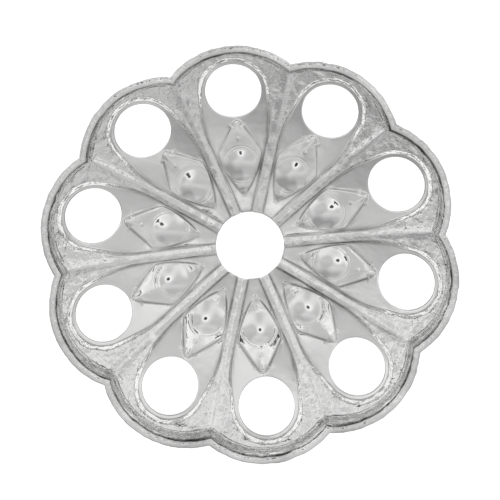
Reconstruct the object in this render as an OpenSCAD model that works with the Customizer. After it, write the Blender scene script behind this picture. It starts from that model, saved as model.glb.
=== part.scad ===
// Bead cap: one pressed sheet cup with ten pierced petals, lying open side up.
// Millimetres. The hub hole is on the Z axis and the cap stands on Z = 0.

/* [Cap] */
// petals round the cap
petals = 10; // [6:1:16]
// diameter over the petal crests
cap_d = 10; // [6:0.1:20]
// height from the lowest point to the rim
cap_h = 1.9; // [1:0.05:5]
// thickness of the sheet
sheet_t = 0.15; // [0.1:0.01:0.4]
// radius of the shallow bowl
bowl_r = 10.7; // [6:0.1:40]

/* [Rim] */
// radius of each petal's rounded end
lobe_r = 2.05; // [1:0.01:4]
// width of the rim's flat top edge
lip_w = 0.145; // [0.05:0.005:0.5]
// width of the rim wall and its top edge, seen from above
skirt_w = 0.31; // [0.1:0.01:1]

/* [Holes] */
// hub hole, for the thread or pin
hub_d = 1.6; // [0.5:0.05:4]
// petal holes
hole_d = 1.32; // [0.5:0.01:3]
// distance of the petal holes from the hub axis
hole_c = 3.78; // [2:0.01:8]
// radius of the sunk ledge round a petal hole
ledge_r = 0.786; // [0.5:0.002:2]

/* [Relief] */
// width of the flat top of a rib
rib_w = 0.22; // [0.05:0.01:0.6]
// side wall of a rib, seen from above
rib_wall = 0.055; // [0.01:0.005:0.2]
// side wall of the step round a petal hole, seen from above
step_wall = 0.105; // [0.01:0.005:0.3]
// height of a rib at the hub
rib_h_in = 0.03; // [0:0.01:0.2]
// height of a rib from the leaf outward
rib_h_out = 0.1; // [0.02:0.01:0.4]
// length over which a rib grows from one height to the other
rib_grow = 1.2; // [0.2:0.1:3]
// fall of a petal's floor from its sides to its middle line
trough = 0.16; // [0:0.01:0.5]

// one row across a petal: distance from the hub axis, then the leaf's half width and height there
leaf_rows = [
    [0.70, 0.00, 0.00],
    [1.00, 0.00, 0.00],
    [1.31, 0.03, 0.01],
    [1.55, 0.21, 0.07],
    [1.80, 0.36, 0.13],
    [2.05, 0.45, 0.16],
    [2.30, 0.46, 0.16],
    [2.56, 0.37, 0.12],
    [2.82, 0.22, 0.06],
    [3.08, 0.03, 0.01],
    [3.40, 0.00, 0.00],
];
// the same rows carried on round the hole: angle from the petal's middle line, seen from the hole
arc_rows = [90, 72, 56, 45, 34, 22, 11, 0];

/* [Hidden] */
X = 0; HALF = 1; TALL = 2;              // columns of leaf_rows
half_a = 180 / petals;
lobe_c = cap_d / 2 - lobe_r;
rib_half = (rib_w / 2 + rib_wall) / cos(half_a);  // half a rib with its wall, measured across a petal
inner_n = len(leaf_rows);
rows = inner_n + len(arc_rows);
last = rows - 1;
corner = inner_n + 2;                   // the row that ends in the notch between two petals
side = 6;                               // columns on each side of the middle line
wide = 2 * side + 1;
min_split = 0.3;                        // least share of a floor's width inside the leaf's column
share = [1, 0.68, 0, 0, 0];             // of the leaf's height, from its middle line outward
foot_h = 0.05;                          // height of the rim wall's rounded foot, outside
start_a = 8;                            // where a round hole's circle starts, off every edge of the sheet

function mix(a, b, f) = a + (b - a) * f;
function clamp(v, lo, hi) = max(lo, min(hi, v));

// heights, before the cap is lifted to stand on Z = 0
function bowl(r) = bowl_r - sqrt(bowl_r * bowl_r - r * r);
function rib_h(x) = mix(rib_h_in, rib_h_out, clamp((x - hub_d / 2) / rib_grow, 0, 1));
function floor_half(x) = min(x * tan(half_a) - rib_half, ledge_r);
function floor_z(x, y) = bowl(norm([x, y])) - rib_h(x) - trough * max(floor_half(x) - y, 0);

// the edge of a petal's floor, row by row, and the direction that leads away from the floor
function arc_a(i) = arc_rows[i - inner_n];
function row_x(i) = i < inner_n ? leaf_rows[i][X] : hole_c + ledge_r * cos(arc_a(i));
function row_y(i) = i < inner_n ? floor_half(row_x(i)) : ledge_r * sin(arc_a(i));
function on_rib(i) = i < inner_n && floor_half(row_x(i)) < ledge_r;
function out_dir(i) = on_rib(i) ? [-sin(half_a), cos(half_a)]
    : i < inner_n ? [0, 1]
    : [cos(arc_a(i)), sin(arc_a(i))];
function wall_w(i) = on_rib(i) ? rib_wall : i < inner_n ? (rib_wall + step_wall) / 2 : step_wall;

// radius from the hub at which a line set in from the outline meets the notch
function notch_r(inset) = lobe_c * cos(half_a)
    + sqrt(pow(lobe_r - inset, 2) - pow(lobe_c * sin(half_a), 2));
function notch_a(inset) = let (r = notch_r(inset)) atan2(r * sin(half_a), r * cos(half_a) - lobe_c);
// a point of that line in row i, on the right-hand side of a petal lying along X
function line_xy(i, inset) = let (a = notch_a(inset) * arc_a(i) / arc_a(corner))
    [lobe_c + (lobe_r - inset) * cos(a), (lobe_r - inset) * sin(a)];

// leaf: width of its column, then its height at that column
function leaf_half(i) = i < inner_n ? leaf_rows[i][HALF] : 0;
function leaf_tall(i) = i < inner_n ? leaf_rows[i][TALL] : 0;
function split(i) = max(leaf_half(i), min_split * row_y(i));

// one row across half a petal: floor in columns 0 to 4, top of the wall in 5, seam in 6
function half_xyz(i, j) =
    let (x = row_x(i), y = row_y(i), w = split(i), d = out_dir(i))
    j < 5 ? let (v = [0, w / 2, w, (w + y) / 2, y][j])
        [x, v, floor_z(x, v) + leaf_tall(i) * share[j]]
    : j == 5 ? let (p = [x, y] + d * wall_w(i)) [p.x, p.y, bowl(norm(p))]
    : i > corner ? let (p = line_xy(i, skirt_w)) [p.x, p.y, bowl(norm(p))]
    : let (r = i == corner ? notch_r(skirt_w) : x * cos(half_a) + y * sin(half_a))
        [r * cos(half_a), r * sin(half_a), bowl(r)];

low = min([for (i = [0:last], j = [0:4]) half_xyz(i, j).z]);
lift = sheet_t - low;                   // puts the underside's lowest point on Z = 0
wall_z = bowl(notch_r(skirt_w)) + lift + foot_h;

function turn(p, k) = let (a = k * 360 / petals)
    [p.x * cos(a) - p.y * sin(a), p.x * sin(a) + p.y * cos(a), p.z];
// a point on the seam between petal k and the next one, the same for both
function seam(r, z, k) = let (a = (k + 0.5) * 360 / petals) [r * cos(a), r * sin(a), z];
function mirrored(p, s) = [p.x, s * p.y, p.z];
// the petal whose seam lies on side s of petal k
function seam_k(k, s) = s > 0 ? k : (k + petals - 1) % petals;

function sheet_point(k, i, j, drop) =
    let (s = j < 0 ? -1 : 1, p = half_xyz(i, abs(j)), z = p.z + lift - drop)
    abs(j) == side && i <= corner ? seam(norm([p.x, p.y]), z, seam_k(k, s))
    : turn(mirrored([p.x, p.y, z], s), k);
function rim_point(k, i, s, inset, z) =
    i == corner ? seam(notch_r(inset), z, seam_k(k, s))
    : let (p = line_xy(i, inset)) turn(mirrored([p.x, p.y, z], s), k);

// points of one petal: upper sheet, lower sheet, then three lines of the rim for each side
grid_n = rows * wide;
rim_n = rows - corner;
function petal_points(k) = concat(
    [for (i = [0:last], j = [-side:side]) sheet_point(k, i, j, 0)],
    [for (i = [0:last], j = [-side:side]) sheet_point(k, i, j, sheet_t)],
    [for (s = [-1, 1], i = [corner:last]) rim_point(k, i, s, lip_w, cap_h)],
    [for (s = [-1, 1], i = [corner:last]) rim_point(k, i, s, 0, cap_h)],
    [for (s = [-1, 1], i = [corner:last]) rim_point(k, i, s, lip_w, wall_z)]);
petal_n = 2 * grid_n + 6 * rim_n;

function at(k, sheet, i, j) = k * petal_n + sheet * grid_n + i * wide + j + side;
function rim_at(k, row, s, i) =
    k * petal_n + 2 * grid_n + (2 * row + (s > 0 ? 1 : 0)) * rim_n + i - corner;
// two triangles, with the diagonal mirrored about the petal's middle line
function quad(a, b, c, d, s) = s > 0 ? [[a, b, c], [a, c, d]] : [[a, b, d], [b, c, d]];
function flip(q) = [for (f = q) [f[0], f[2], f[1]]];
function flat(lists) = [for (l = lists, f = l) f];

function sheet_faces(k, sheet) = flat([for (i = [0:last - 1], j = [-side:side - 1])
    let (q = quad(at(k, sheet, i, j), at(k, sheet, i, j + 1),
        at(k, sheet, i + 1, j + 1), at(k, sheet, i + 1, j), j < 0 ? -1 : 1))
    sheet == 0 ? q : flip(q)]);
function hub_faces(k) = flat([for (j = [-side:side - 1])
    quad(at(k, 0, 0, j), at(k, 1, 0, j), at(k, 1, 0, j + 1), at(k, 0, 0, j + 1), 1)]);
function strip(k, s, i, a, b) = let (q = quad(a[0], b[0], b[1], a[1], s)) s > 0 ? q : flip(q);
function rim_faces(k) = flat([for (s = [-1, 1], i = [corner:last - 1])
    let (top = [at(k, 0, i, s * side), at(k, 0, i + 1, s * side)],
        lip = [rim_at(k, 0, s, i), rim_at(k, 0, s, i + 1)],
        edge = [rim_at(k, 1, s, i), rim_at(k, 1, s, i + 1)],
        low = [rim_at(k, 2, s, i), rim_at(k, 2, s, i + 1)],
        foot = [at(k, 1, i, s * side), at(k, 1, i + 1, s * side)])
    concat(strip(k, s, i, top, lip), strip(k, s, i, lip, edge),
        strip(k, s, i, edge, low), strip(k, s, i, low, foot))]);

module pressed_sheet() {
    polyhedron(
        points = flat([for (k = [0:petals - 1]) petal_points(k)]),
        faces = flat([for (k = [0:petals - 1])
            concat(sheet_faces(k, 0), sheet_faces(k, 1), hub_faces(k), rim_faces(k))]));
}

module punch(d) {
    rotate(start_a) translate([0, 0, -cap_h]) cylinder(d = d, h = 3 * cap_h, $fn = 96);
}

module bead_cap() {
    color("silver") difference() {
        pressed_sheet();
        punch(hub_d);
        for (k = [0:petals - 1]) rotate(k * 360 / petals)
            translate([hole_c, 0, 0]) punch(hole_d);
    }
}

bead_cap();
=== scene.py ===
# Bead cap: one pressed and plated sheet with ten pierced petals, lying open side up.
# The sheet is worked out in millimetres, half a petal at a time, and scaled to metres as it becomes a mesh.
# A setting whose name ends in Over is a pair: between its two values something grows from nothing to full.

import math

import bmesh
import bpy
import numpy as np
from mathutils import Matrix, Vector


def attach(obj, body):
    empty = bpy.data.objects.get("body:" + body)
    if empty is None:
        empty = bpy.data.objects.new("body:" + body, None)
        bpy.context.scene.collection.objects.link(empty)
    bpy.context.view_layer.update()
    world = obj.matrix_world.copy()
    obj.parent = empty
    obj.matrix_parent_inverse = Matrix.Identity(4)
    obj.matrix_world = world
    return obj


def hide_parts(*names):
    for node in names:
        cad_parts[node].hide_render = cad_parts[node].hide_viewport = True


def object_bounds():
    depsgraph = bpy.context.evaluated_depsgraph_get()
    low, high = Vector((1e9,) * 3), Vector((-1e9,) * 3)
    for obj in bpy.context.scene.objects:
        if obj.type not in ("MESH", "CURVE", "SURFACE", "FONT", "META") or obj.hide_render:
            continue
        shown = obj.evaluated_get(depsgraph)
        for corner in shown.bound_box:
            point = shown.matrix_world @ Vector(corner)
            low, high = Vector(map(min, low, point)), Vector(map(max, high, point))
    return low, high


print("bead cap: loading the frame")
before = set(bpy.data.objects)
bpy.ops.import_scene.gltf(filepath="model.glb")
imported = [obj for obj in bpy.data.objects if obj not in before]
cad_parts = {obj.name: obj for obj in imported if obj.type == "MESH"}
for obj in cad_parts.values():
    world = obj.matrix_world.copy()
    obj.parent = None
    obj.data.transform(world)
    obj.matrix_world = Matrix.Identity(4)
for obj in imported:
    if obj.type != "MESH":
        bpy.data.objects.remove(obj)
cadLow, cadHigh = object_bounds()
mm = 0.001
weld = 1e-7                         # metres within which two points become one
hair = 1e-6                         # millimetres, keeps a division or a comparison safe

cap = {
    "petals": 10,
    "crest": cadHigh.x / mm,        # distance of a petal's outermost point from the hub axis
    "height": cadHigh.z / mm,       # of the rim over the surface that the cap lies on
    "sheet": 0.15,
    "bowl": 10.7,                   # radius of the shallow bowl that the sheet follows
    "lobe": 2.05,                   # radius of a petal's rounded end
    "hub": 0.8,                     # radius of the hub hole
    "hole": 0.66,                   # radius of a petal hole
    "holeAt": 3.78,                 # its distance from the hub axis
    "underRelief": 0.92,            # how much of the relief comes through on the outside
    "rolled": 0.03,                 # width of the rounding on the punched edges
    "rolledDrop": 0.016,            # and its depth
}
rib = {
    "half": 0.092,                  # half width of the top
    "wall": 0.066,                  # side wall, seen from above
    "low": 0.03,                    # height at the hub
    "high": 0.10,                   # height from the leaf outward
    "grow": 0.8,                    # length over which it rises from one to the other
    "crown": 0.022,                 # rise of the top's middle over its sides
    "crownPower": 1.25,             # 1 gives a sharp ridge, 2 a round top
    "band": 0.050,                  # height of the narrow band that carries a rib on to the rim
    "bandOver": (2.9, 3.6),         # distances from the hub axis
    "bandSoft": 0.035,              # width of the band's sloping sides
}
ledge = {
    "radius": 0.740,                # of the sunk ledge round a petal hole
    "step": 0.120,                  # wall round the ledge, seen from above
    "corner": 0.12,                 # how softly the ledge's line runs into the rib's
    "trough": 0.16,                 # fall of the floor from its sides to the petal's middle line
    "crease": (0.70, 0.02),         # how soft the fold on the middle line is, at the hub and farther out
    "creaseOver": (1.5, 2.05),
    "shallow": 0.75,                # how much of the trough is gone at the outer side of a petal hole
    "shallowOver": (-0.2, 0.64),    # distances outward from the petal hole's middle
    "plain": 0.7,                   # how straight the ledge's wall is there
    "plainOver": (-0.2, 0.2),
}
leaf = {
    "tipIn": 1.22,                  # inner tip, distance from the hub axis
    "widest": 2.24,
    "tipOut": 3.04,
    "half": 0.48,                   # half width where it is widest
    "powerIn": 1.5,                 # 1 gives straight sides, 2 a full oval
    "powerOut": 1.12,
    "edge": 0.060,                  # width of the small step round it
    "step": 0.052,                  # and the step's height
    "tipSoft": 0.11,                # half width at which it starts to run out towards its inner tip
    "tipWall": 0.05,                # length of the small wall at its outer tip
    "roof": 0.030,                  # rise from the step to the middle line
    "ridge": 0.15,                  # how round the roof is on the middle line
    "roofOver": (0, 0.2),           # half widths of the leaf
    "formOver": (0, 0.1),
    "sliver": 0.001,                # half width that is taken where it has less
    "seat": (0.030, 0.042),         # how far it lies below the floor's sides, up to its middle and at its tip
    "seatFrom": 2.55,
    "dome": (1.96, 0.42, 0.39, 0.115),    # distance from the hub axis, half length, half width, height
    "domeFoot": 0.012,              # how softly the dome runs into the leaf
}
rim = {
    # inset from the outline, share of the height from the bowl to the top of the rim
    "inside": [(0.310, 0.0), (0.286, 0.012), (0.264, 0.042), (0.247, 0.10), (0.236, 0.20), (0.226, 0.48),
               (0.217, 0.74), (0.209, 0.88), (0.202, 0.918), (0.170, 0.968), (0.148, 0.997), (0.140, 1.0),
               (0.040, 1.0), (0.020, 0.992), (0.007, 0.975), (0.0, 0.950)],
    "outside": [(0.310, 0.0), (0.265, 0.006), (0.222, 0.022), (0.185, 0.055), (0.158, 0.11), (0.140, 0.18),
                (0.118, 0.31), (0.090, 0.47), (0.062, 0.64), (0.036, 0.79), (0.015, 0.90), (0.005, 0.930),
                (0.0015, 0.941), (0.0, 0.950)],
}
uneven = {
    "seed": 41,
    "draws": {"wander": 1, "broad": 2, "fine": 3, "dents": 4},    # added to the seed for each pattern
    "waves": 26,
    "mixed": (0.75, 1.35),                       # spread of the wavelengths round the ones given here
    "broad": [(1.9, 0.0060), (0.75, 0.0022)],    # wavelength, height: over the whole sheet
    "fine": [(0.42, 0.0075), (0.27, 0.0070)],    # where the sheet is drawn hard
    "dents": [(0.9, 0.0080), (0.42, 0.0085), (0.26, 0.0060)],    # sideways, in the rim wall
    "dentsOver": (0, 0.3),                       # shares of the rim wall's height
    "climb": (0.9, -0.7),                        # how the dents shift in plan as they go up the wall
    "stiffLip": 0.6,                             # how much less the rim's top edge is dented
    "stiffOver": (0.93, 0.99),
    "wrinkle": (0.19, 0.0052),                   # fine folds that run along the rim: spacing, height
    "wrinkleOver": (0.5, 0.8),                   # shares of the fine waves
    "wander": [(0.8, 0.9), (0.45, 0.6)],         # how those folds shift
    # share of the fine waves, then of the surface grain, on a petal's floor, leaf, dome and rib
    "wavesOn": (0.10, 0.14, 0.03, 0.35),
    "grainOn": (0.08, 0.11, 0.03, 0.55),
    "grainOnLip": 0.40,
    # where one share gives way to the next, and the rib's to the full one
    "leafOver": (0.05, -0.05),                   # distances out from the leaf's side
    "domeOver": (1.15, 0.75),                    # from the dome's middle, 1 at its edge
    "outwardOver": (2.6, 3.5),                   # from the hub axis
    "besideOver": (0.05, 0.13),                  # from the rib's middle line
}
paintedShade = {                         # painted shade: colour darkened at the foot of the walls, round the leaves, near the hub, in the rim wall under the lip, on the lip, evenly over the outside, and most towards the picture's lower right
    "reach": 0.07,                  # how far it spreads over a floor
    "wallOver": (0.6, 0.1),         # shares of a wall's height
    "besideRib": 0.52,              # share of it at each place
    "besideOver": (3.4, 2.9),       # distances from the hub axis
    "roundHole": 0.05,
    "roundLeaf": 0.43,
    "leafWidth": 0.035,
    "underLip": 1.15,
    "onLip": 0.28,
    "lipOver": (0.72, 0.92),        # shares of the rim wall's height
    "underOver": (0.99, 0.96),      # and those at which underLip begins again below the top edge
    "atHub": 0.33,
    "hubOver": (1.65, 1.15),        # distances from the hub axis
    "outside": 0.42,
    "side": 150,                    # direction in plan in which it is strongest, towards the picture's lower right
    "sideShare": (0.72, 1.18),      # of it on the other side, and on that one
}
rows = {
    "apart": 0.059,
    "hub": [0.0, 0.007, 0.022, 0.048],       # close rows at the hub hole's rounded edge
    "tip": [0.056, 0.038, 0.020, 0.0],       # before a leaf's outer tip
    "hole": [0.052, 0.024, 0.007, 0.0],      # and before the petal hole
    "clear": 0.012,                          # least distance of another row from those at the tip
    # angles round the petal hole of the rows that fan out from it
    "fan": [*np.linspace(174, 64, 20), 60, 58, 56, 55.2, 53.8, 52, *np.linspace(49.5, 0, 19)],
    "notch": 56,                             # the one of them that meets the notch
    "narrow": 95,                            # and where the ledge beside them gets narrow
    "slim": 1.2,                             # distance from the hub axis up to which a floor is slim
    "settle": 12,                            # rounds that find where a row crosses the rib's lines
}
across = {
    "leaf": [0, 0.09, 0.22, 0.37, 0.53, 0.69, 0.85, 1.0],
    "edge": [0.35, 0.7, 1.0],
    "floor": [0.14, 0.55, 0.88, 1.0],
    # the same columns where the floor is narrow or slim; equal ones become one
    "few": [0, 0, 0, 0.1, 0.1, 0.1, 0.3, 0.3, 0.3, 0.3, 0.6, 0.6, 0.6, 0.85, 1.0],
    "wall": [0.12, 0.32, 0.5, 0.68, 0.88, 1.0],
    "net": [0.3, 0.65, 1.0],                 # from the wall to the band's side
    "rib": [0, 0.33, 0.66, 1.0],             # over the rib's top or the band
    "leafLeast": (0.05, 0.35),               # least share of the leaf's columns, and their share at a hole
    "leafOver": (2.75, 3.10),                # distances from the hub axis between the two
    "edgeMost": 0.3,                         # most of what is left that the edge's columns take
    "edgeAtHole": 0.1,
    "netLeast": 0.3,                         # least share of the net's columns
    "sideLeast": 0.15,                       # and of the band's sloping side
    "settle": 4,                             # rounds that find the leaf's side in a row
}
# what is known of a point, in this order; the last five are its shares of the unevenness and of the painted
# shade
columns = ["x", "y", "z", "broad", "fine", "grain", "paintedShade", "dents"]

halfTurn = math.pi / cap["petals"]           # half of one petal's angle
lobeAt = cap["crest"] - cap["lobe"]
ribEdge = rib["half"] + rib["wall"]
bandFoot = rib["half"] + rib["bandSoft"] / 2
bandTop = rib["half"] - rib["bandSoft"] / 2
ledgeTop = ledge["radius"] + ledge["step"]
holeCentre = np.array([cap["holeAt"], 0.0])
wallInset = rim["inside"][0][0]


def mix(a, b, t):
    return a + (b - a) * t


def soft(t):
    t = np.clip(t, 0, 1)
    return t * t * (3 - 2 * t)


def over(value, start, end):                 # softly from 0 at start to 1 at end
    return soft((value - start) / (end - start))


def softMin(a, b, width):
    h = np.clip(0.5 + 0.5 * (b - a) / width, 0, 1)
    return b * (1 - h) + a * h - width * h * (1 - h)


def polar(radius, angle):
    return np.stack([radius * np.cos(angle), radius * np.sin(angle)], -1)


def lineY(x, offset, level):                 # a line beside the rib that bends into the ledge's
    beside = x * math.tan(halfTurn) - offset / math.cos(halfTurn)
    return softMin(beside, level, ledge["corner"])


def notchRadius(inset):
    reach = (cap["lobe"] - inset) ** 2 - (lobeAt * math.sin(halfTurn)) ** 2
    return lobeAt * math.cos(halfTurn) + math.sqrt(reach)


def rimLine(share, inset):                   # a line set in from the outline, crest 0 to notch 1
    r = notchRadius(inset)
    widest = math.atan2(r * math.sin(halfTurn), r * math.cos(halfTurn) - lobeAt)
    return polar(cap["lobe"] - inset, share * widest) + np.array([lobeAt, 0.0])


def arcRows():                               # rows as arcs round the hub, as far as the petal hole
    first = cap["hub"] + np.array(rows["hub"])
    last = cap["holeAt"] - cap["hole"] - np.array(rows["hole"])
    tip = leaf["tipOut"] - np.array(rows["tip"])
    count = int((last[0] - first[-1]) / rows["apart"])
    between = np.linspace(first[-1], last[0], count + 1)[1:-1]
    between = between[(between < tip[0] - rows["clear"]) | (between > tip[-1] + rows["clear"])]
    radius = np.concatenate([first, np.sort([*between, *tip]), last])
    lines = [polar(radius, 0 * radius)]
    for offset, level in ((ribEdge, ledge["radius"]), (rib["half"], ledgeTop)):
        x = radius * math.cos(halfTurn)
        for turn in range(rows["settle"]):
            x = np.sqrt(radius ** 2 - lineY(x, offset, level) ** 2)
        lines.append(np.stack([x, lineY(x, offset, level)], -1))
    lines.append(polar(radius, halfTurn + 0 * radius))
    return lines


def fanRows(arcs):                           # rows fanned out round the petal hole
    degrees = np.array(rows["fan"], float)
    angle = np.radians(degrees)
    lines = [holeCentre + polar(cap["hole"], angle)]
    quarter = np.clip((180 - degrees) / 90, 0, 1)
    for line, offset, level in ((arcs[1], ribEdge, ledge["radius"]), (arcs[2], rib["half"], ledgeTop)):
        x = mix(line[-1][0], cap["holeAt"], quarter)
        beside = np.stack([x, lineY(x, offset, level)], -1)
        lines.append(np.where(degrees[:, None] >= 90, beside, holeCentre + polar(level, angle)))
    toNotch = np.clip((180 - degrees) / (180 - rows["notch"]), 0, 1)
    seam = polar(mix(np.linalg.norm(arcs[3][-1]), notchRadius(wallInset), toNotch), halfTurn)
    foot = rimLine(degrees / rows["notch"], wallInset)
    lines.append(np.where(degrees[:, None] > rows["notch"], seam, foot))
    return lines


def leafHalf(x):
    within = x < leaf["widest"]
    length = np.where(within, leaf["widest"] - leaf["tipIn"], leaf["tipOut"] - leaf["widest"])
    u = np.clip(np.abs(x - leaf["widest"]) / length, 0, 1)
    return leaf["half"] * (1 - u ** np.where(within, leaf["powerIn"], leaf["powerOut"]))


def spread(lines):
    # the points of each row, seen from above, and how far up the wall they lie, or 2 beyond it
    inner, edge, top, base = lines
    start = inner[:, 0]
    onMiddle = start < cap["holeAt"] - cap["hole"] + hair
    reach = np.where(onMiddle, edge[:, 1], 1)
    least = mix(*across["leafLeast"], over(start, *across["leafOver"]))
    share = least
    for turn in range(across["settle"]):
        found = leafHalf(mix(start, edge[:, 0], share)) / reach
        share = np.where(onMiddle, np.maximum(found, least), across["leafLeast"][1])
    small = np.minimum(leaf["edge"] / reach, across["edgeMost"] * (1 - share))
    small = np.where(onMiddle, small, across["edgeAtHole"])
    steps = [share * f for f in across["leaf"]]
    steps += [share + small * f for f in across["edge"]]
    steps += [mix(share + small, 1, f) for f in across["floor"]]
    aroundHole = np.degrees(np.arctan2(inner[:, 1], start - cap["holeAt"]))
    fewer = np.where(onMiddle, start < rows["slim"], aroundHole < rows["narrow"])
    steps = [np.where(fewer, f, step) for f, step in zip(across["few"], steps)]
    fromSeam = np.maximum(fromRib(top), hair)
    foot = np.clip(1 - bandFoot / fromSeam, across["netLeast"], 1)
    shoulder = np.maximum(1 - bandTop / fromSeam, foot + across["sideLeast"])
    rest = [foot * f for f in across["net"]] + [mix(shoulder, 1, f) for f in across["rib"]]
    points = [mix(inner, edge, f[:, None]) for f in steps]
    points += [mix(edge, top, f) for f in across["wall"]]
    points += [mix(top, base, f[:, None]) for f in rest]
    rise = [0] * len(steps) + across["wall"] + [2] * len(rest)
    return np.stack(points, 1), np.array(rise)


def fromRib(p):                              # distance from the rib's middle line
    return np.abs(p[..., 0] * math.sin(halfTurn) - p[..., 1] * math.cos(halfTurn))


def bowlZ(radius):
    return cap["bowl"] - np.sqrt(cap["bowl"] ** 2 - radius ** 2)


def ribZ(p):                                 # level of the ribs' tops and of the sheet between the holes
    radius = np.linalg.norm(p, axis=-1)
    away = fromRib(p)
    band = over(away, bandFoot, bandTop) * over(radius, *rib["bandOver"])
    crown = np.clip(1 - (away / rib["half"]) ** rib["crownPower"], 0, 1)
    return bowlZ(radius) + rib["band"] * band + rib["crown"] * crown


def domeDistance(p):                         # from the dome's middle, 1 at its edge
    at, long, wide = leaf["dome"][:3]
    return np.hypot((p[..., 0] - at) / long, p[..., 1] / wide)


def leafEdge(p):                             # 0 outside the leaf, 1 on it
    x = p[..., 0]
    half = leafHalf(x)
    innerEnd = np.clip(half / leaf["tipSoft"], 0, 1)
    ends = np.where(x < leaf["widest"], innerEnd, soft((leaf["tipOut"] - x) / leaf["tipWall"]))
    return soft((half + leaf["edge"] - p[..., 1]) / leaf["edge"]) * ends


def leafZ(p):
    half = leafHalf(p[..., 0])
    edge = leafEdge(p)
    fromMiddle = np.hypot(p[..., 1] / np.maximum(half, leaf["sliver"]), leaf["ridge"])
    roof = leaf["roof"] * np.clip(1 - fromMiddle, 0, 1) * over(half, *leaf["roofOver"])
    dome = leaf["dome"][3] * (1 - domeDistance(p) ** 2)
    form = -softMin(-roof, -dome, leaf["domeFoot"])
    return leaf["step"] * edge + form * over(half, *leaf["formOver"]) * edge


def floorZ(p):
    x = p[..., 0]
    deep = mix(rib["low"], rib["high"], np.clip((x - cap["hub"]) / rib["grow"], 0, 1))
    half = lineY(np.minimum(x, cap["holeAt"]), ribEdge, ledge["radius"])
    crease = mix(*ledge["crease"], over(x, *ledge["creaseOver"]))
    folded = np.hypot(p[..., 1], crease) - crease
    beyond = over(x - cap["holeAt"], *ledge["shallowOver"])
    fall = ledge["trough"] * np.maximum(half - folded, 0) * (1 - ledge["shallow"] * beyond)
    seat = mix(*leaf["seat"], over(x, leaf["seatFrom"], leaf["tipOut"]))
    fall = mix(fall, np.minimum(fall, seat), leafEdge(p))
    return bowlZ(np.linalg.norm(p, axis=-1)) - deep - fall + leafZ(p)


def punchedEdge(p):                          # how much the rounding takes off at a punched hole
    toHub = np.linalg.norm(p, axis=-1) - cap["hub"]
    toHole = np.linalg.norm(p - holeCentre, axis=-1) - cap["hole"]
    near = np.clip(1 - np.minimum(toHub, toHole) / cap["rolled"], 0, 1)
    return cap["rolledDrop"] * near ** 2


def halfPetal():
    arcs = arcRows()
    lines = [np.concatenate(pair) for pair in zip(arcs, fanRows(arcs))]
    plan, rise = spread(lines)
    edge = lines[1][:, None]
    top = lines[2][:, None]
    plain = ledge["plain"] * over(edge[..., 0] - cap["holeAt"], *ledge["plainOver"])
    wall = mix(floorZ(edge), ribZ(top), mix(soft(rise), np.clip(rise, 0, 1), plain))
    upper = np.where(rise <= 0, floorZ(plan), np.where(rise <= 1, wall, ribZ(plan)))
    lower = mix(ribZ(plan), upper, cap["underRelief"]) - cap["sheet"]
    drop = punchedEdge(plan)
    shares = [drawnHard(plan, rise, *uneven[name]) for name in ("wavesOn", "grainOn")]
    shares = np.stack(shares + [paintedShadeAt(plan, rise, edge)], -1)
    return plan, upper - drop, lower + drop, len(arcs[0]), shares


def drawnHard(plan, rise, onFloor, onLeaf, onDome, onRib):    # 1 where the sheet is drawn hardest
    leafThere = over(plan[..., 1] - leafHalf(plan[..., 0]), *uneven["leafOver"])
    domeThere = over(domeDistance(plan), *uneven["domeOver"])
    floor = mix(mix(onFloor, onLeaf, leafThere), onDome, domeThere)
    outward = over(np.linalg.norm(plan, axis=-1), *uneven["outwardOver"])
    net = mix(onRib, 1, outward * over(fromRib(plan), *uneven["besideOver"]))
    return mix(floor, net, soft(rise))


def paintedShadeAt(plan, rise, edge):                # where shade is painted: at the foot of the walls, round the leaves and near the hub
    x = plan[..., 0]
    fromEdge = np.linalg.norm(plan - edge, axis=-1)
    onWall = np.where(rise <= 1, over(rise, *paintedShade["wallOver"]), 0)
    foot = np.where(rise <= 0, soft(1 - fromEdge / paintedShade["reach"]), onWall)
    foot = foot * mix(paintedShade["roundHole"], paintedShade["besideRib"], over(x, *paintedShade["besideOver"]))
    half = leafHalf(x)
    outline = (plan[..., 1] - half - leaf["edge"]) / paintedShade["leafWidth"]
    roundLeaf = paintedShade["roundLeaf"] * np.exp(-outline ** 2) * over(half, *leaf["formOver"])
    nearHub = paintedShade["atHub"] * over(x, *paintedShade["hubOver"])
    return np.maximum(foot, np.maximum(roundLeaf, nearHub) * (rise <= 0))


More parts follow.
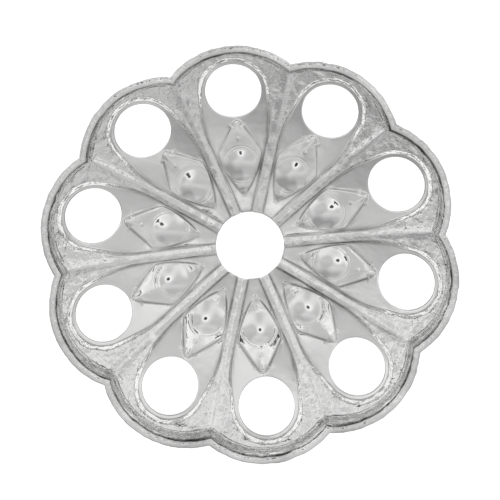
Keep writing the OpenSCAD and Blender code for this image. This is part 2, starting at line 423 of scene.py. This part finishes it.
def withRim(plan, z, seat, shares, profile, rimTop, corner):
    # all points of one side of the sheet for half a petal, and their faces
    inside = profile is rim["inside"]
    # the outside gets the same painted shade all over
    if not inside:
        shares = np.concatenate([shares[..., :2], 0 * shares[..., 2:] + paintedShade["outside"]], -1)
    one = np.ones(z.shape + (1,))
    sheet = np.concatenate([plan, z[..., None], one, shares, 0 * one], -1)
    along = np.array(rows["fan"][rows["fan"].index(rows["notch"]):]) / rows["notch"]
    wall = []
    for inset, up in profile[1:]:
        stiff = uneven["stiffLip"] * over(up, *uneven["stiffOver"])
        dents = over(up, *uneven["dentsOver"]) * (1 - stiff)
        # painted shade in the rim wall: strongest on its upper inside part just below the lip's top edge,
        # weaker on the lip's top
        nearLip = over(up, *paintedShade["lipOver"])
        shadeShare = max(paintedShade["underLip"] * over(up, *paintedShade["underOver"]), paintedShade["onLip"]) * nearLip
        grain = mix(1, uneven["grainOnLip"], up)
        rest = [1 - up, 1 - up, grain, shadeShare if inside else paintedShade["outside"], dents]
        foot = mix(z, seat, up / profile[-1][1] if up < 1 else 1)[corner:, -1:]
        line = [rimLine(along, inset), mix(foot, rimTop, up), np.tile(rest, (len(along), 1))]
        wall.append(np.concatenate(line, -1))
    wall = np.stack(wall, 1)
    sheetIndex = np.arange(z.size).reshape(z.shape)
    wallIndex = z.size + np.arange(wall[..., 0].size).reshape(wall.shape[:2])
    wallIndex = np.concatenate([sheetIndex[corner:, -1:], wallIndex], 1)
    faces = [np.stack([g[:-1, :-1], g[1:, :-1], g[1:, 1:], g[:-1, 1:]], -1).reshape(-1, 4)
             for g in (sheetIndex, wallIndex)]
    points = np.concatenate([part.reshape(-1, len(columns)) for part in (sheet, wall)])
    return points, np.concatenate(faces), sheetIndex


def waves(u, v, name):                       # a smooth uneven pattern, the same in every run
    rng = np.random.default_rng(uneven["seed"] + uneven["draws"][name])
    count = uneven["waves"]
    total = np.zeros(len(u))
    for wavelength, height in uneven[name]:
        heading = rng.uniform(0, 2 * math.pi, count)
        pace = 2 * math.pi / (wavelength * rng.uniform(*uneven["mixed"], count))
        phase = rng.uniform(0, 2 * math.pi, count)
        along = u[:, None] * pace * np.cos(heading) + v[:, None] * pace * np.sin(heading)
        total += height * np.sin(along + phase).sum(1) * math.sqrt(2 / count)
    return total


def placed(points, side, k, lift):           # half a petal turned to its place and made uneven there
    a = 2 * halfTurn * k
    x = points[:, 0]
    y = points[:, 1] * side
    z = points[:, 2]
    broad, fine, dents = (points[:, columns.index(name)] for name in ("broad", "fine", "dents"))
    u = x * math.cos(a) - y * math.sin(a)
    v = x * math.sin(a) + y * math.cos(a)
    inset = cap["lobe"] - np.hypot(x - lobeAt, y)
    period, high = uneven["wrinkle"]
    folds = high * np.sin(2 * math.pi * inset / period + waves(u, v, "wander"))
    folds *= over(fine, *uneven["wrinkleOver"])
    z = z + (lift + waves(u, v, "broad") * broad + waves(u, v, "fine") * fine + folds)
    around = np.arctan2(v, u)
    shiftU, shiftV = uneven["climb"]
    sideways = waves(cap["crest"] * np.cos(around) + z * shiftU,
                     cap["crest"] * np.sin(around) + z * shiftV, "dents")
    inward = 1 - np.abs(sideways) * dents / cap["crest"]
    return np.stack([u * inward, v * inward, z], 1)


def pressSheet():
    plan, upper, lower, arcCount, shares = halfPetal()
    corner = arcCount + rows["fan"].index(rows["notch"])
    lift = -lower.min()
    rimTop = cap["height"] - lift
    top, topFaces, index = withRim(plan, upper, upper, shares, rim["inside"], rimTop, corner)
    under, underFaces, index = withRim(plan, lower, upper, shares, rim["outside"], rimTop, corner)
    walls = []
    for edge in (index[0, :], index[arcCount - 1:, 0]):      # round the hub hole, round the petal hole
        walls.append(np.stack([edge[:-1], edge[1:], edge[1:] + len(top), edge[:-1] + len(top)], -1))
    points = np.concatenate([top, under])
    faces = np.concatenate([topFaces, underFaces + len(top), *walls])
    halves = [(k, side) for k in range(cap["petals"]) for side in (1, -1)]
    allPoints = np.concatenate([placed(points, side, k, lift) for k, side in halves])
    allPoints[:, 2] -= allPoints[:, 2].min()
    allPoints[:, 2] *= cap["height"] / allPoints[:, 2].max()
    allFaces = np.concatenate([faces + n * len(points) for n in range(len(halves))])
    x, y, grain, shadeShare = (np.tile(points[:, columns.index(name)], len(halves))
                         for name in ("x", "y", "grain", "paintedShade"))
    # the painted shade is strongest towards the picture's lower right and weakest on the far side
    fromSide = np.arctan2(allPoints[:, 1], allPoints[:, 0]) - math.radians(paintedShade["side"])
    shadeShare *= mix(*paintedShade["sideShare"], 0.5 + 0.5 * np.cos(fromSide))
    return allPoints, allFaces, np.stack([x, y, grain], 1), shadeShare


def makeCap():
    points, faces, place, shadeShare = pressSheet()
    mesh = bpy.data.meshes.new("beadCapSheet")
    mesh.from_pydata((points * mm).tolist(), [], faces.tolist())
    # where a point lies on its petal: outward from the hub, sideways, and its share of the grain
    mesh.attributes.new("petalPlace", "FLOAT_VECTOR", "POINT").data.foreach_set("vector", place.ravel())
    # how much shade is painted at each point
    mesh.attributes.new("paintedShade", "FLOAT", "POINT").data.foreach_set("value", shadeShare)
    bm = bmesh.new()
    bm.from_mesh(mesh)
    bmesh.ops.remove_doubles(bm, verts=bm.verts, dist=weld)
    bmesh.ops.recalc_face_normals(bm, faces=bm.faces)
    openEdges = sum(1 for e in bm.edges if len(e.link_faces) != 2)
    triangles = sum(len(f.verts) - 2 for f in bm.faces)
    print("bead cap:", len(bm.verts), "points,", triangles, "triangles,", openEdges, "open edges")
    bm.to_mesh(mesh)
    bm.free()
    mesh.shade_smooth()
    piece = bpy.data.objects.new("bead_cap_sheet", mesh)
    bpy.context.scene.collection.objects.link(piece)
    return piece


print("bead cap: pressing the sheet")
capPiece = makeCap()

mottling = {
    "detail": 3,
    "usual": (0.3, 0.7),            # values between which most of the mottle lies
}
plate = {
    "tint": (0.84, 0.84, 0.835, 1),
    # dark colour of the painted shade
    "paintedShadeTint": (0.06, 0.06, 0.058, 1),
    "paintedShadePatches": (0.0, 1.2),   # share of the painted shade in its weakest and strongest patches
    "roughness": (0.05, 0.12),      # smoothest and dullest places
    "patches": 900,                 # over a metre
    "grain": 6500,
    "grainHeight": 0.044,           # millimetres, as all heights here
    "rings": (0.17, 0.0013),        # tool marks round a leaf's dome: spacing as a share of its size, height
    "ringsOver": (0.88, 0.98),      # distances from the dome's middle at which they start
    "ringsEnd": (1.30, 1.12),       # and end
    "peak": (2.60, 0.07, 0.010),    # small peak on a leaf: distance from the hub axis, radius, height
}
stand = {
    "tint": (0.90, 0.90, 0.90, 1),
    "glowTint": (1, 1, 1, 1),
    "glow": 0.66,
    "roughness": (0.6, 0.7),
    "patches": 40,
    "grain": 400,
    "size": 0.6,
}
studio = {
    "lean": 8,                      # degrees of the camera off the vertical
    "towards": 282,                 # direction in plan in which it leans, which is the picture's top
    "distance": 0.3,
    "frame": 0.0118,                # width of what the picture shows at the cap
    "sensor": 36,                   # millimetres, as the lens
    # degrees from the camera, brightness there: the dark lens opening, a pale ring, the tent
    "rings": [(0, 0.04), (5.4, 0.05), (6.6, 1.02), (11, 0.85), (17, 0.76), (26, 0.79), (180, 0.88)],
    # from the picture's bottom, -1, to its top, 1: how bright
    "shade": [(-1, 0.94), (-0.90, 0.84), (-0.78, 0.58), (-0.58, 0.57), (-0.35, 0.80), (0.05, 1.04),
              (0.4, 0.97), (1, 0.98)],
    "gap": (10, 17),                # degrees above the floor over which the dark gap under the tent ends
    "gapLean": -0.07,               # how much higher that gap is at the picture's bottom
    "gapShade": 0.05,
    "folds": 1.6,                   # scale of the folds in the tent's cloth
    "foldsAt": 7.3,
    "foldsOver": (0.36, 0.64),      # values of their noise
    "foldShade": (0.78, 1.18),
}


def socket(group, way, name, value=None):
    made = group.interface.new_socket(name, in_out=way, socket_type="NodeSocketFloat")
    if value is not None:
        made.default_value = value


def mottleGroup():                           # soft patches and fine grain
    group = bpy.data.node_groups.new("softMottle", "ShaderNodeTree")
    socket(group, "INPUT", "Patches", plate["patches"])
    socket(group, "INPUT", "Grain", plate["grain"])
    socket(group, "OUTPUT", "Mottle")
    socket(group, "OUTPUT", "Fine")
    nodes = group.nodes
    link = group.links.new
    start = nodes.new("NodeGroupInput")
    end = nodes.new("NodeGroupOutput")
    place = nodes.new("ShaderNodeTexCoord")
    for name, out in (("Patches", "Mottle"), ("Grain", "Fine")):
        noise = nodes.new("ShaderNodeTexNoise")
        noise.inputs["Detail"].default_value = mottling["detail"]
        link(place.outputs["Object"], noise.inputs["Vector"])
        link(start.outputs[name], noise.inputs["Scale"])
        link(noise.outputs["Fac"], end.inputs[out])
    return group


def mottleIn(tree, group, settings):
    node = tree.nodes.new("ShaderNodeGroup")
    node.node_tree = group
    node.inputs["Patches"].default_value = settings["patches"]
    node.inputs["Grain"].default_value = settings["grain"]
    return node


def principled(name):
    material = bpy.data.materials.new(name)
    material.use_nodes = True
    return material, material.node_tree, material.node_tree.nodes["Principled BSDF"]


def combine(tree, operation, a, b=None):     # each is a number or an output
    node = tree.nodes.new("ShaderNodeMath")
    node.operation = operation
    for value, slot in zip((a, b), node.inputs):
        if isinstance(value, (int, float)):
            slot.default_value = value
        elif value is not None:
            tree.links.new(value, slot)
    return node.outputs["Value"]


def vectors(tree, operation, vector, numbers=None):
    node = tree.nodes.new("ShaderNodeVectorMath")
    node.operation = operation
    tree.links.new(vector, node.inputs[0])
    if numbers is not None:
        node.inputs[1].default_value = numbers
    return node.outputs["Value" if operation in ("LENGTH", "DOT_PRODUCT") else "Vector"]


def ranged(tree, value, source, target, smooth=True):
    node = tree.nodes.new("ShaderNodeMapRange")
    node.interpolation_type = "SMOOTHSTEP" if smooth else "LINEAR"
    tree.links.new(value, node.inputs["Value"])
    for name, number in zip(("From Min", "From Max", "To Min", "To Max"), (*source, *target)):
        node.inputs[name].default_value = number
    return node.outputs["Result"]


def mottled(tree, mottle, target):           # the mottle between two values
    return ranged(tree, mottle.outputs["Mottle"], mottling["usual"], target, False)


def plateHeight(tree, fine):                 # grain, rings round the dome and the small peak, in millimetres
    place = tree.nodes.new("ShaderNodeAttribute")
    place.attribute_name = "petalPlace"
    parts = tree.nodes.new("ShaderNodeSeparateXYZ")
    tree.links.new(place.outputs["Vector"], parts.inputs["Vector"])
    flat = tree.nodes.new("ShaderNodeCombineXYZ")
    tree.links.new(parts.outputs["X"], flat.inputs["X"])
    tree.links.new(parts.outputs["Y"], flat.inputs["Y"])

    def away(at, long, wide):
        moved = vectors(tree, "SUBTRACT", flat.outputs["Vector"], (at, 0, 0))
        return vectors(tree, "LENGTH", vectors(tree, "DIVIDE", moved, (long, wide, 1)))

    fromDome = away(*leaf["dome"][:3])
    spacing, ringHeight = plate["rings"]
    ring = combine(tree, "COSINE", combine(tree, "MULTIPLY", fromDome, 2 * math.pi / spacing))
    ring = combine(tree, "MULTIPLY", ring, ranged(tree, fromDome, plate["ringsOver"], (0, ringHeight)))
    ring = combine(tree, "MULTIPLY", ring, ranged(tree, fromDome, plate["ringsEnd"], (0, 1)))
    at, radius, high = plate["peak"]
    peak = ranged(tree, away(at, radius, radius), (1, 0), (0, high))
    grain = combine(tree, "MULTIPLY", parts.outputs["Z"], fine)
    grain = combine(tree, "MULTIPLY", grain, plate["grainHeight"])
    return combine(tree, "ADD", combine(tree, "ADD", ring, peak), grain)


def silverPlate(group):
    material, tree, shader = principled("silverPlate")
    shader.inputs["Metallic"].default_value = 1
    mottle = mottleIn(tree, group, plate)
    # painted shade: the tint goes towards the dark shade colour by each point's painted-shade share, in
    # patches
    shadeShare = tree.nodes.new("ShaderNodeAttribute")
    shadeShare.attribute_name = "paintedShade"
    patchy = mottled(tree, mottle, plate["paintedShadePatches"])
    tint = tree.nodes.new("ShaderNodeMix")
    tint.data_type = "RGBA"
    tree.links.new(combine(tree, "MULTIPLY", shadeShare.outputs["Fac"], patchy), tint.inputs["Factor"])
    tint.inputs["A"].default_value = plate["tint"]
    tint.inputs["B"].default_value = plate["paintedShadeTint"]
    tree.links.new(tint.outputs["Result"], shader.inputs["Base Color"])
    tree.links.new(mottled(tree, mottle, plate["roughness"]), shader.inputs["Roughness"])
    bump = tree.nodes.new("ShaderNodeBump")
    bump.inputs["Strength"].default_value = 1
    bump.inputs["Distance"].default_value = mm
    tree.links.new(plateHeight(tree, mottle.outputs["Fine"]), bump.inputs["Height"])
    tree.links.new(bump.outputs["Normal"], shader.inputs["Normal"])
    return material


def paleStand(group):
    material, tree, shader = principled("paleStand")
    shader.inputs["Base Color"].default_value = stand["tint"]
    shader.inputs["Emission Color"].default_value = stand["glowTint"]
    shader.inputs["Emission Strength"].default_value = stand["glow"]
    mottle = mottleIn(tree, group, stand)
    tree.links.new(mottled(tree, mottle, stand["roughness"]), shader.inputs["Roughness"])
    return material


def makeStand(group):
    half = stand["size"] / 2
    corners = [(-half, -half, 0), (half, -half, 0), (half, half, 0), (-half, half, 0)]
    mesh = bpy.data.meshes.new("paleStand")
    mesh.from_pydata(corners, [], [(0, 1, 2, 3)])
    piece = bpy.data.objects.new("stand", mesh)
    bpy.context.scene.collection.objects.link(piece)
    mesh.materials.append(paleStand(group))


def pictureTop():                            # direction in plan
    towards = math.radians(studio["towards"])
    return Vector((math.cos(towards), math.sin(towards), 0))


def cameraDirection():                       # from the cap to the camera
    lean = math.radians(studio["lean"])
    return pictureTop() * math.sin(lean) + Vector((0, 0, math.cos(lean)))


def makeCamera(target):
    data = bpy.data.cameras.new("camera")
    data.sensor_width = studio["sensor"]
    data.lens = data.sensor_width * studio["distance"] / studio["frame"]
    camera = bpy.data.objects.new("camera", data)
    bpy.context.scene.collection.objects.link(camera)
    back = cameraDirection()
    right = pictureTop().cross(back).normalized()
    turned = Matrix((right, back.cross(right), back)).transposed().to_4x4()
    camera.matrix_world = Matrix.Translation(target + back * studio["distance"]) @ turned
    bpy.context.scene.camera = camera


def ramp(tree, value, levels):               # levels are pairs of a value and the brightness there
    first, last = levels[0][0], levels[-1][0]
    node = tree.nodes.new("ShaderNodeValToRGB")
    tree.links.new(ranged(tree, value, (first, last), (0, 1), False), node.inputs["Fac"])
    stops = node.color_ramp.elements
    while len(stops) < len(levels):
        stops.new(0.5)
    for stop, (at, level) in zip(stops, levels):
        stop.position = (at - first) / (last - first)
        stop.color = (level, level, level, 1)
    return node.outputs["Color"]


def makeWorld():
    # a pale tent with the lens opening overhead, brighter towards the picture's top, dark under its lower edge
    world = bpy.data.worlds.new("paleTent")
    world.use_nodes = True
    tree = world.node_tree
    tree.nodes.clear()
    around = tree.nodes.new("ShaderNodeTexCoord").outputs["Generated"]
    apart = combine(tree, "ARCCOSINE", vectors(tree, "DOT_PRODUCT", around, cameraDirection()))
    rings = ramp(tree, apart, [(math.radians(a), level) for a, level in studio["rings"]])
    shade = ramp(tree, vectors(tree, "DOT_PRODUCT", around, pictureTop()), studio["shade"])
    upright = Vector((0, 0, 1)) + pictureTop() * studio["gapLean"]
    ends = [math.sin(math.radians(a)) for a in studio["gap"]]
    gap = ranged(tree, vectors(tree, "DOT_PRODUCT", around, upright), ends, (studio["gapShade"], 1))
    noise = tree.nodes.new("ShaderNodeTexNoise")
    noise.noise_dimensions = "4D"
    noise.inputs["W"].default_value = studio["foldsAt"]
    noise.inputs["Scale"].default_value = studio["folds"]
    noise.inputs["Detail"].default_value = 0
    tree.links.new(around, noise.inputs["Vector"])
    folds = ranged(tree, noise.outputs["Fac"], studio["foldsOver"], studio["foldShade"])
    strength = combine(tree, "MULTIPLY", combine(tree, "MULTIPLY", shade, gap), folds)
    background = tree.nodes.new("ShaderNodeBackground")
    tree.links.new(rings, background.inputs["Color"])
    tree.links.new(strength, background.inputs["Strength"])
    out = tree.nodes.new("ShaderNodeOutputWorld")
    tree.links.new(background.outputs["Background"], out.inputs["Surface"])
    bpy.context.scene.world = world


print("bead cap: plating, studio and camera")
softMottle = mottleGroup()
capPiece.data.materials.append(silverPlate(softMottle))
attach(capPiece, "root")
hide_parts("bead_cap")
makeStand(softMottle)
makeWorld()
makeCamera(Vector((0, 0, cadHigh.z / 2)))
bpy.context.scene.view_settings.view_transform = "Standard"

print("bead cap: done")
